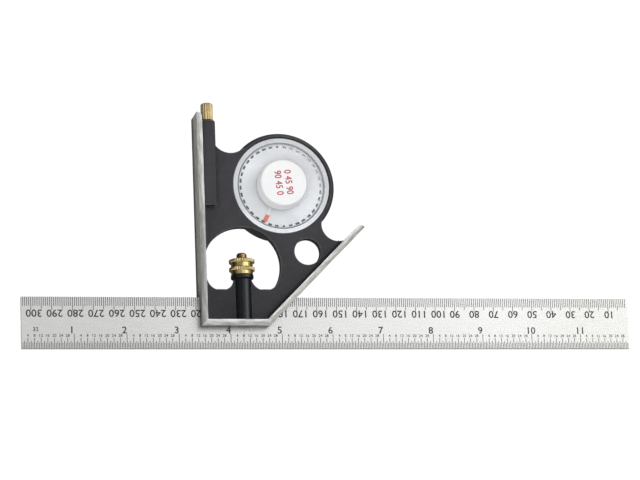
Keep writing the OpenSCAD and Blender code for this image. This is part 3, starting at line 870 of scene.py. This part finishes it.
def glyphMesh(text, weight):
    # A numeral 1 m high and thick, centred on its own box, as closed solids. An offset
    # closes the opening of a thin 4, so it grows bolder by shifted copies, stepped in height
    if (text, weight) not in glyphs:
        shifted = "4" in text and weight < numeralShape["boldest"]
        curve = bpy.data.curves.new("numeral", "FONT")
        curve.body = text
        curve.extrude = 0.5
        curve.offset = 0 if shifted else weight
        curve.resolution_u = numeralShape["resolution"]
        letter = newObject("numeral", curve)
        mesh = plainMesh(letter, "numeral")
        bpy.data.objects.remove(letter)
        if shifted:
            bold = bmesh.new()
            shift = weight * numeralShape["shift"]
            for step, (side, up) in enumerate(((-1, -1), (-1, 1), (1, -1), (1, 1))):
                copy = mesh.copy()
                copy.transform(
                    Matrix.Translation((side * shift, up * shift, 0))
                    @ Matrix.Diagonal((1, 1, 1 + numeralShape["step"] * step, 1))
                )
                bold.from_mesh(copy)
                bpy.data.meshes.remove(copy)
            bold.to_mesh(mesh)
            bold.free()
        xs = [v.co.x for v in mesh.vertices]
        ys = [v.co.y for v in mesh.vertices]
        height = max(ys) - min(ys)
        mesh.transform(
            Matrix.Diagonal((1 / height, 1 / height, 1, 1))
            @ Matrix.Translation((-(min(xs) + max(xs)) / 2, -(min(ys) + max(ys)) / 2, 0))
        )
        glyphs[text, weight] = mesh
    return glyphs[text, weight]


def numerals(pieceName, marks, thickness, material, face):
    # marks holds (text, height, x, y, z, turn in radians), face its width and boldness
    work = bmesh.new()
    for text, height, x, y, z, turn in marks:
        mesh = glyphMesh(text, face["weight"]).copy()
        mesh.transform(
            Matrix.Translation((x, y, z)) @ Matrix.Rotation(turn, 4, "Z")
            @ Matrix.Diagonal((height * face["width"], height, thickness, 1))
        )
        work.from_mesh(mesh)
        bpy.data.meshes.remove(mesh)
    mesh = bpy.data.meshes.new(pieceName)
    bmesh.ops.remove_doubles(work, verts=work.verts, dist=numeralShape["weld"])
    work.to_mesh(mesh)
    work.free()
    mesh.materials.append(material)
    return newObject(pieceName, mesh)


ruleFigures = {
    "metricStep": 10, "metricLast": 300, "inches": 12,
    "metricHeight": 3.7 * mm, "metricDown": 8.1 * mm, "digitPitch": 2.66 * mm,
    "inchHeight": 3.45 * mm, "inchUp": 9.2 * mm, "inchPitch": 2.3 * mm,
    "smallHeight": 1.4 * mm, "smallUp": 6.5 * mm, "parts": "32",
    "partsHeight": 2.0 * mm, "partsIn": 7.0 * mm, "partsUp": 9.5 * mm,
    "face": {"width": 1.05, "weight": 0.015},
}
figureMarks = []
for value in range(
    ruleFigures["metricStep"], ruleFigures["metricLast"] + 1, ruleFigures["metricStep"]
):
    text = str(value)
    shift = (len(text) - 2) / 2 * ruleFigures["digitPitch"]
    figureMarks.append((
        text, ruleFigures["metricHeight"], ruleHigh.x - value * mm + shift,
        ruleHigh.y - ruleFigures["metricDown"], ruleTop, pi,
    ))
for value in range(ruleFigures["inches"]):
    lineAt = ruleLow.x + value * inchLength
    if value:
        text = str(value)
        shift = (len(text) - 2) / 2 * ruleFigures["inchPitch"]
        figureMarks.append((
            text, ruleFigures["inchHeight"], lineAt + shift,
            ruleLow.y + ruleFigures["inchUp"], ruleTop, 0,
        ))
    for eighth in range(1, 8):
        figureMarks.append((
            str(4 * eighth), ruleFigures["smallHeight"], lineAt + eighth * inchLength / 8,
            ruleLow.y + ruleFigures["smallUp"], ruleTop, 0,
        ))
figureMarks.append((
    ruleFigures["parts"], ruleFigures["partsHeight"], ruleLow.x + ruleFigures["partsIn"],
    ruleLow.y + ruleFigures["partsUp"], ruleTop, 0,
))
ruleNumerals = numerals(
    "ruleNumerals", figureMarks, ink["thickness"], markInk, ruleFigures["face"]
)
for piece in (metricTicks, inchTicks, ruleNumerals):
    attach(piece, bodyOf["rule"])
print("rule made:", len(figureMarks), "numerals")


# Knurled nut and knob
turning = {"path": 0.001 * mm, "weld": 0.005 * mm, "sharp": 38, "crown": 1.3}


def knurlTree():
    # Turns a closed profile about Y and cuts V gaps into its rim
    group, given = newGroup(
        "straightKnurl", "GeometryNodeTree",
        [
            ("Profile", "Geometry", None), ("Teeth", "Int", 20),
            ("Faces Per Tooth", "Int", 8), ("Depth", "Float", 0.3 * mm),
            ("Rim Radius", "Float", 5 * mm), ("Crown", "Float", 0.7),
            ("Metal", "Material", None),
        ],
        "Geometry", "Geometry",
    )
    steps = maths(group, "MULTIPLY", given["Teeth"], given["Faces Per Tooth"])
    path = addNode(group, "GeometryNodeCurvePrimitiveCircle", {
        "Resolution": steps, "Radius": turning["path"],
    }, mode="RADIUS")
    turned = addNode(group, "GeometryNodeCurveToMesh", {
        "Curve": path.outputs["Curve"], "Profile Curve": given["Profile"],
    })
    place = addNode(group, "GeometryNodeInputPosition")
    parts = addNode(group, "ShaderNodeSeparateXYZ", {"Vector": place.outputs[0]})
    angle = maths(group, "ARCTAN2", parts.outputs["Y"], parts.outputs["X"])
    count = maths(group, "MULTIPLY", angle, given["Teeth"])
    wave = maths(group, "COSINE", count)
    fall = ramp(group, wave, start=-1.0, end=1.0, low=1.0, high=0.0)
    gap = maths(group, "POWER", fall, given["Crown"])
    deep = maths(group, "MULTIPLY", gap, given["Depth"])
    flat = addNode(group, "ShaderNodeCombineXYZ", {
        "X": parts.outputs["X"], "Y": parts.outputs["Y"],
    })
    radius = vectors(group, "LENGTH", flat.outputs[0])
    outward = vectors(group, "NORMALIZE", flat.outputs[0])
    inward = maths(group, "MULTIPLY", deep, -1.0)
    offset = addNode(group, "ShaderNodeVectorMath", {
        0: outward.outputs[0], "Scale": inward,
    }, operation="SCALE")
    atRim = maths(group, "GREATER_THAN", radius.outputs["Value"], given["Rim Radius"])
    cut = addNode(group, "GeometryNodeSetPosition", {
        "Geometry": turned.outputs[0], "Selection": atRim, "Offset": offset.outputs[0],
    })
    merged = addNode(group, "GeometryNodeMergeByDistance", {
        "Geometry": cut.outputs[0], "Distance": turning["weld"],
    })
    coated = addNode(group, "GeometryNodeSetMaterial", {
        "Geometry": merged.outputs[0], "Material": given["Metal"],
    })
    real = addNode(group, "GeometryNodeRealizeInstances", {"Geometry": coated.outputs[0]})
    return closed(group, real.outputs[0])


knurl = knurlTree()


def knurledPiece(pieceName, node, profile, values):
    # profile holds (radius, height) from the foot of the node it replaces, like the
    # plain numbers of nut and knob in mm
    curve = bpy.data.curves.new(pieceName, "CURVE")
    spline = curve.splines.new("POLY")
    spline.points.add(len(profile) - 1)
    for point, (radius, height) in zip(spline.points, profile):
        point.co = (radius * mm, height * mm, 0, 1)
    spline.use_cyclic_u = True
    source = newObject(pieceName + "Profile", curve)
    mesh = runTree(source, knurl, values, pieceName)
    bpy.data.objects.remove(source)
    middle = midPoint(node)
    heights = [v.co.z for v in mesh.vertices]
    upright = 1 if abs(max(heights)) > abs(min(heights)) else -1
    mesh.transform(
        Matrix.Translation((middle.x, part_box(node)[0].y, middle.z))
        @ Matrix.Rotation(-pi / 2, 4, "X") @ Matrix.Diagonal((1, 1, upright, 1))
    )
    work = bmesh.new()
    work.from_mesh(mesh)
    bmesh.ops.recalc_face_normals(work, faces=work.faces)
    work.to_mesh(mesh)
    work.free()
    mesh.shade_smooth()
    mesh.set_sharp_from_angle(angle=radians(turning["sharp"]))
    piece = newObject(pieceName, mesh)
    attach(piece, bodyOf[node])
    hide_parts(node)
    print(pieceName, "made:", len(mesh.polygons), "faces")
    return piece


nut = {
    "bore": 2.56, "waist": 5.35, "rim": 6.3, "foot": 2.0, "ring": 1.8, "gap": 2.2,
    "teeth": 44, "facesPerTooth": 8, "depth": 0.26 * mm, "lip": 0.2, "round": 0.25,
    "ease": ((0.25, 0.02), (0.1, 0.12), (0, 0.25)), "topIn": 1, "clear": 0.3,
}
ringFoots = (nut["foot"], nut["foot"] + nut["ring"] + nut["gap"])
nutTop = ringFoots[1] + nut["ring"]
nutProfile = [
    (nut["bore"], nut["lip"]), (nut["bore"] + nut["lip"], 0),
    (nut["waist"] - nut["round"], 0), (nut["waist"], nut["round"]),
]
for ringFoot in ringFoots:
    nutProfile.append((nut["waist"], ringFoot))
    nutProfile += [(nut["rim"] - inset, ringFoot + rise) for inset, rise in nut["ease"]]
    nutProfile += [
        (nut["rim"] - inset, ringFoot + nut["ring"] - rise) for inset, rise in nut["ease"][::-1]
    ]
    if ringFoot != ringFoots[-1]:
        nutProfile.append((nut["waist"], ringFoot + nut["ring"]))
nutProfile += [
    (nut["waist"] - nut["topIn"], nutTop), (nut["bore"] + nut["lip"], nutTop),
    (nut["bore"], nutTop - nut["lip"]),
]
knurledPiece("nutKnurled", "clamp_nut", nutProfile, {
    "Teeth": nut["teeth"], "Depth": nut["depth"],
    "Rim Radius": (nut["waist"] + nut["clear"]) * mm, "Crown": turning["crown"],
    "Faces Per Tooth": nut["facesPerTooth"], "Metal": brass,
})

knob = {
    "radius": 3.05, "height": 8.9, "teeth": 16, "facesPerTooth": 10, "depth": 0.28 * mm,
    "bottom": ((0.6, 0), (0.5, 0.1), (0.1, 0.4), (0, 0.6)),
    "top": ((0, 0.7), (0.12, 0.5), (0.7, 0.06), (0.9, 0)), "clear": 0.45,
}
knobProfile = [(0, 0)]
knobProfile += [(knob["radius"] - inset, rise) for inset, rise in knob["bottom"]]
knobProfile += [(knob["radius"] - inset, knob["height"] - drop) for inset, drop in knob["top"]]
knobProfile.append((0, knob["height"]))
knurledPiece("knobKnurled", "scriber_knob", knobProfile, {
    "Teeth": knob["teeth"], "Depth": knob["depth"],
    "Rim Radius": (knob["radius"] - knob["clear"]) * mm, "Crown": turning["crown"],
    "Faces Per Tooth": knob["facesPerTooth"], "Metal": knobBrass,
})


# Clamp and scriber
easedCopy("clamp_stud", "studBrassBody", brassStud, 0.1 * mm)
easedCopy("clamp_collar", "postCollar", blackSteel, 0.12 * mm)
easedCopy("scriber_needle", "needleShaft", groundSteel, 0)
easedCopy("scriber_sleeve", "needleSleeve", blackNylon, 0.05 * mm)


# Dial
easedCopy("dial_case", "caseCup", caseWhite, 0.1 * mm)
easedCopy("dial_card", "cardDisc", cardWhite, 0.04 * mm)
easedCopy("bezel_ring", "bezelBand", bezelWhite, 0.08 * mm)
lensDisc = easedCopy("lens", "lensDisc", clearLens, 0.06 * mm)
lensDisc.data.materials.append(bezelWhite)
for face in lensDisc.data.polygons:
    # The lens edge takes the bezel's white, a painted light that hides the dark rim its clear edge
    # would show
    if abs(face.normal.z) < limits["lensEdge"]:
        face.material_index = 1
easedCopy("hub_cap", "hubCover", hubWhite, 0.25 * mm, segments=3)

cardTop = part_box("dial_card")[1].z
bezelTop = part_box("bezel_ring")[1].z
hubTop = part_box("hub_cap")[1].z
dial = {
    "numeralRadius": 20.2 * mm, "numeralHeight": 1.1 * mm, "zeroAt": 92.6,
    "tickRadius": 23.0 * mm, "tickLength": 1.1 * mm, "tickWidth": 0.12 * mm,
    "ticks": 360, "step": 10, "face": {"width": 1.6, "weight": 0.11},
}
dialMarks = []
for around in range(0, 360, dial["step"]):
    reading = abs((around + 90) % 180 - 90)
    angle = radians(dial["zeroAt"] + around)
    dialMarks.append((
        str(reading), dial["numeralHeight"],
        dialCentre.x + dial["numeralRadius"] * cos(angle),
        dialCentre.y + dial["numeralRadius"] * sin(angle),
        cardTop + inkLift, angle + pi / 2,
    ))
dialNumerals = numerals("dialNumerals", dialMarks, ink["thickness"], printBlue, dial["face"])
bezelTicks = marksPiece("bezelTicks", tickRing, {
    "Count": dial["ticks"], "Radius": dial["tickRadius"], "Length": dial["tickLength"],
    "Width": dial["tickWidth"], "Thickness": ink["thickness"], "Ink": printGrey,
}, Matrix.Translation((dialCentre.x, dialCentre.y, bezelTop + inkLift)))

hubPrint = {
    "lines": ("0 45 90", "90 45 0"), "height": 3.5 * mm, "pitch": 5.0 * mm, "turn": -84.5,
    "thickness": 0.02 * mm, "face": {"width": 0.85, "weight": 0.018},
}
hubTurn = radians(hubPrint["turn"])
lineUp = Vector((-sin(hubTurn), cos(hubTurn), 0))
hubMarks = []
for row, text in enumerate(hubPrint["lines"]):
    spot = dialCentre + lineUp * hubPrint["pitch"] * (0.5 - row)
    hubMarks.append((
        text, hubPrint["height"], spot.x, spot.y,
        hubTop + hubPrint["thickness"] / 2 - ink["sunk"], hubTurn,
    ))
hubNumerals = numerals(
    "hubNumerals", hubMarks, hubPrint["thickness"], printRed, hubPrint["face"]
)
for piece, slot in (
    (dialNumerals, "dial_print"), (bezelTicks, "bezel_white"), (hubNumerals, "hub_white"),
):
    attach(piece, bodyOf["dial_card"])
print("dial made")


# Pieces that stay as the CAD has them
plainFinishes = {
    "clamp_spring": springSteel, "pivot_pin": groundSteel, "rear_washer": brassPlain,
    "front_washer": brassPlain, "pointer_bush": brassPlain, "pointer_arm": pointerWhite,
    "pointer_tip": pointerRed, "balance_weight": brassPlain,
}
for node, material in plainFinishes.items():
    mesh = frame["nodes"][node].data
    mesh.materials.clear()
    mesh.materials.append(material)


# Floor, lamps and the white background
stage = {
    "size": 3.0, "level": -0.0001, "matte": (0.85, 0.85, 0.85, 1), "mirrored": (0.3, 0.3, 0.3, 1),
    "glow": 1.12, "glowShare": 0.88,
}
floorMesh = bpy.data.meshes.new("floor")
floorMesh.from_pydata(
    [
        (stage["size"] * across, stage["size"] * along, stage["level"])
        for across, along in ((-1, -1), (1, -1), (1, 1), (-1, 1))
    ],
    [], [(0, 1, 2, 3)],
)
floorPiece = newObject("floor", floorMesh)
floorMaterial = bpy.data.materials.new("floorWhite")
floorMaterial.use_nodes = True
floorTree = floorMaterial.node_tree
floorTree.nodes.remove(floorTree.nodes["Principled BSDF"])
path = addNode(floorTree, "ShaderNodeLightPath")
tone = blend(
    floorTree, path.outputs["Is Glossy Ray"], stage["matte"], stage["mirrored"], data_type="RGBA"
)
matte = addNode(floorTree, "ShaderNodeBsdfDiffuse", {"Color": tone})
glow = addNode(floorTree, "ShaderNodeEmission", {"Strength": stage["glow"]})
share = maths(floorTree, "MULTIPLY", path.outputs["Is Camera Ray"], stage["glowShare"])
both = addNode(floorTree, "ShaderNodeMixShader", {
    0: share, 1: matte.outputs[0], 2: glow.outputs[0],
})
floorTree.links.new(both.outputs[0], floorTree.nodes["Material Output"].inputs["Surface"])
floorMesh.materials.append(floorMaterial)

# Sky: white to the camera, an even soft light, and for reflections a gradient upward
# and toward x, with one bright patch where it glares off the lens
sky = {
    "low": 0.35, "high": 0.6, "left": -0.35, "right": 0.1, "leftShade": 0.22, "even": 0.78,
    "glareToward": (0.245, 0.29, 0.925), "glareFrom": 0.9978, "glareFull": 0.9994, "glare": 2.2,
}
world = bpy.data.worlds.new("studio")
bpy.context.scene.world = world
world.use_nodes = True
worldTree = world.node_tree
background = worldTree.nodes["Background"]
direction = addNode(worldTree, "ShaderNodeTexCoord").outputs["Generated"]
parts = addNode(worldTree, "ShaderNodeSeparateXYZ", {"Vector": direction})
above = ramp(worldTree, parts.outputs["Z"], start=0.0, end=sky["high"], low=sky["low"])
side = ramp(
    worldTree, parts.outputs["X"], start=sky["left"], end=sky["right"], low=sky["leftShade"]
)
toward = Vector(sky["glareToward"]).normalized()
facing = vectors(worldTree, "DOT_PRODUCT", direction, toward)
patch = ramp(
    worldTree, facing.outputs["Value"], start=sky["glareFrom"], end=sky["glareFull"],
    high=sky["glare"], kind="SMOOTHSTEP",
)
shaded = maths(worldTree, "MULTIPLY", above, side)
mirrored = maths(worldTree, "ADD", shaded, patch)
path = addNode(worldTree, "ShaderNodeLightPath").outputs
ambient = blend(worldTree, path["Is Glossy Ray"], sky["even"], mirrored)
seen = maths(worldTree, "MAXIMUM", path["Is Camera Ray"], path["Is Transmission Ray"])
strength = blend(worldTree, seen, ambient, 1.0)
worldTree.links.new(strength, background.inputs["Strength"])
background.inputs["Color"].default_value = (1, 1, 1, 1)

lamps = {
    "key": {"place": (0.6, 0.62, 1.15), "size": (1.0, 1.0), "power": 2.5},
    "fill": {"place": (-0.75, -0.6, 0.9), "size": (1.2, 1.2), "power": 5.6},
    "strip": {"place": (0.95, 0.26, 1.0), "size": (0.16, 0.8), "power": 1.5},
}
for name, lamp in lamps.items():
    light = bpy.data.lights.new(name, "AREA")
    light.shape = "RECTANGLE"
    light.size, light.size_y = lamp["size"]
    light.energy = lamp["power"]
    holder = newObject(name, light)
    holder.location = lamp["place"]
    holder.rotation_euler = (-Vector(lamp["place"])).to_track_quat("-Z", "Y").to_euler()
    holder.visible_camera = False

bpy.context.scene.view_settings.view_transform = "Standard"
print("stage set")
